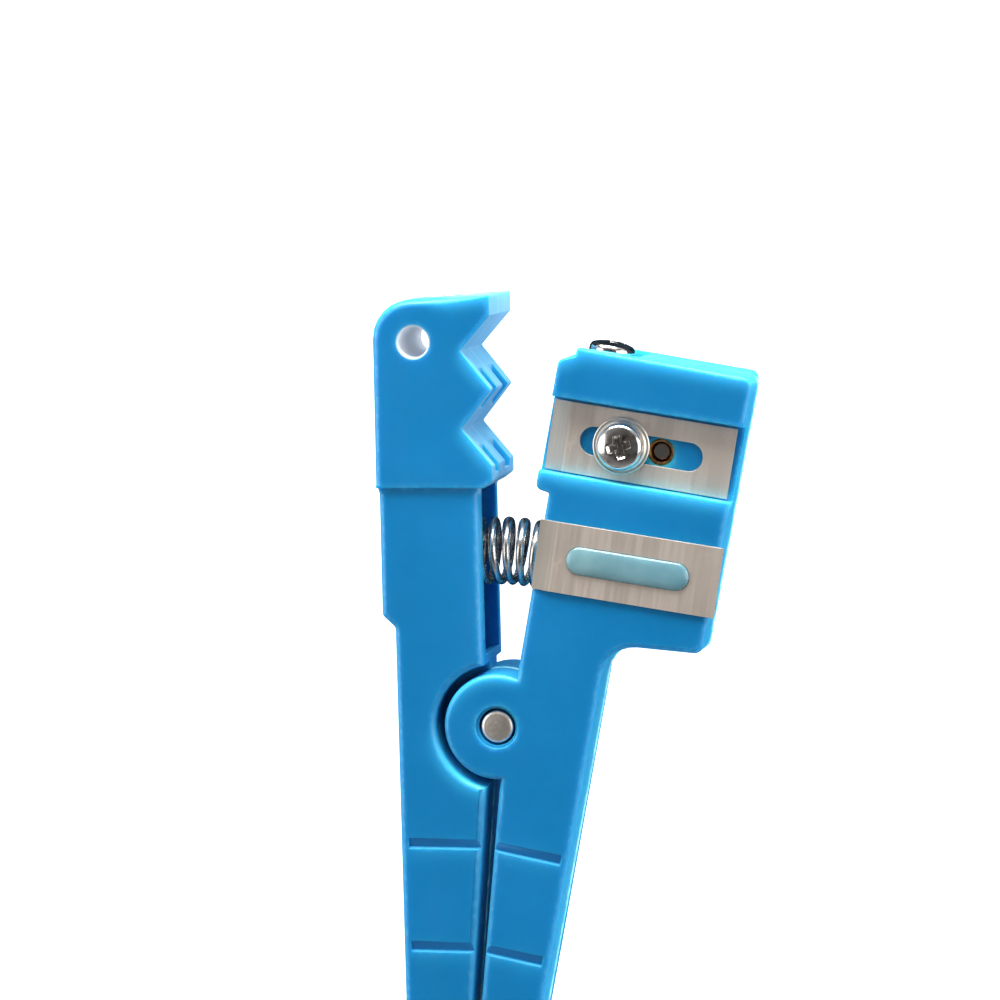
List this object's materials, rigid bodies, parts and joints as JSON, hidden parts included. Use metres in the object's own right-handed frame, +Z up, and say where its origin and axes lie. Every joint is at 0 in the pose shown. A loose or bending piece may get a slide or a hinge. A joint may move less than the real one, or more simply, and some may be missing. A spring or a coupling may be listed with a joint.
{
  "type": "wire stripper",
  "caption": "Spring-opened plier-type stripper for round cable jackets: a notched jaw arm hinged to a blade arm with adjustable flat blades held by clamp screws.",
  "frame": {"origin": "centre of the footprint of the opened tool, on the surface that it lies on", "axes": "+Y along the jaw arm towards the jaws, +X across the tool towards the blade arm, +Z up through the thickness, out of the face with the spare blade"},
  "size_m": [0.0464, 0.1305, 0.0145],
  "materials": {
    "blue_plastic": "satin-gloss moulded plastic, slightly translucent",
    "blade_steel": "ground across its length",
    "pin_steel": "satin, turned end",
    "spring_steel": "bright drawn wire",
    "screw_chrome": "bright plated",
    "washer_steel": "satin plated",
    "insert_brass": "machined, dull",
    "plug_resin": "soft translucent resin, glossy"
  },
  "bodies": {
    "jaw_body": {"jaw_arm": "blue_plastic", "pivot_pin": "pin_steel", "return_spring": "spring_steel"},
    "blade_body": {"blade_arm": "blue_plastic", "spare_blade": "blade_steel", "spare_blade_plug": "plug_resin", "front_insert": "insert_brass", "back_insert": "insert_brass", "top_insert": "insert_brass"},
    "front_blade_body": {"front_blade": "blade_steel"},
    "back_blade_body": {"back_blade": "blade_steel"},
    "slitting_blade_body": {"slitting_blade": "blade_steel"},
    "front_screw_body": {"front_clamp_screw": "screw_chrome", "front_washer": "washer_steel"},
    "back_screw_body": {"back_clamp_screw": "screw_chrome", "back_washer": "washer_steel"},
    "top_screw_body": {"top_clamp_screw": "screw_chrome", "top_washer": "washer_steel"}
  },
  "joints": [
    {"name": "arm_hinge", "type": "hinge", "parent": "jaw_body", "child": "blade_body", "pos_m": [-0.00886, 0.0124, 0.007], "axis": [0, 0, 1], "range_deg": [0, 9.6], "stiffness_Nm_per_rad": 1.3, "springref_deg": -4.58, "deforming": ["return_spring"]},
    {"name": "front_blade_slide", "type": "slide", "parent": "blade_body", "child": "front_blade_body", "axis": [-0.9854, 0.1702, 0], "range_m": [-0.0031, 0.0016]},
    {"name": "back_blade_slide", "type": "slide", "parent": "blade_body", "child": "back_blade_body", "axis": [-0.9854, 0.1702, 0], "range_m": [-0.0031, 0.0016]},
    {"name": "slitting_blade_slide", "type": "slide", "parent": "blade_body", "child": "slitting_blade_body", "axis": [-0.9806, 0.1959, 0], "range_m": [-0.0002, 0.0013]},
    {"name": "front_screw_turn", "type": "hinge", "parent": "blade_body", "child": "front_screw_body", "pos_m": [0.00694, 0.04688, 0.0113], "axis": [0, 0, 1], "range_deg": [0, 360]},
    {"name": "back_screw_turn", "type": "hinge", "parent": "blade_body", "child": "back_screw_body", "pos_m": [0.01172, 0.04605, 0.0035], "axis": [0, 0, -1], "range_deg": [0, 360]},
    {"name": "top_screw_turn", "type": "hinge", "parent": "blade_body", "child": "top_screw_body", "pos_m": [0.00496, 0.05655, 0.007], "axis": [0.1959, 0.9806, 0], "range_deg": [0, 360]}
  ]
}
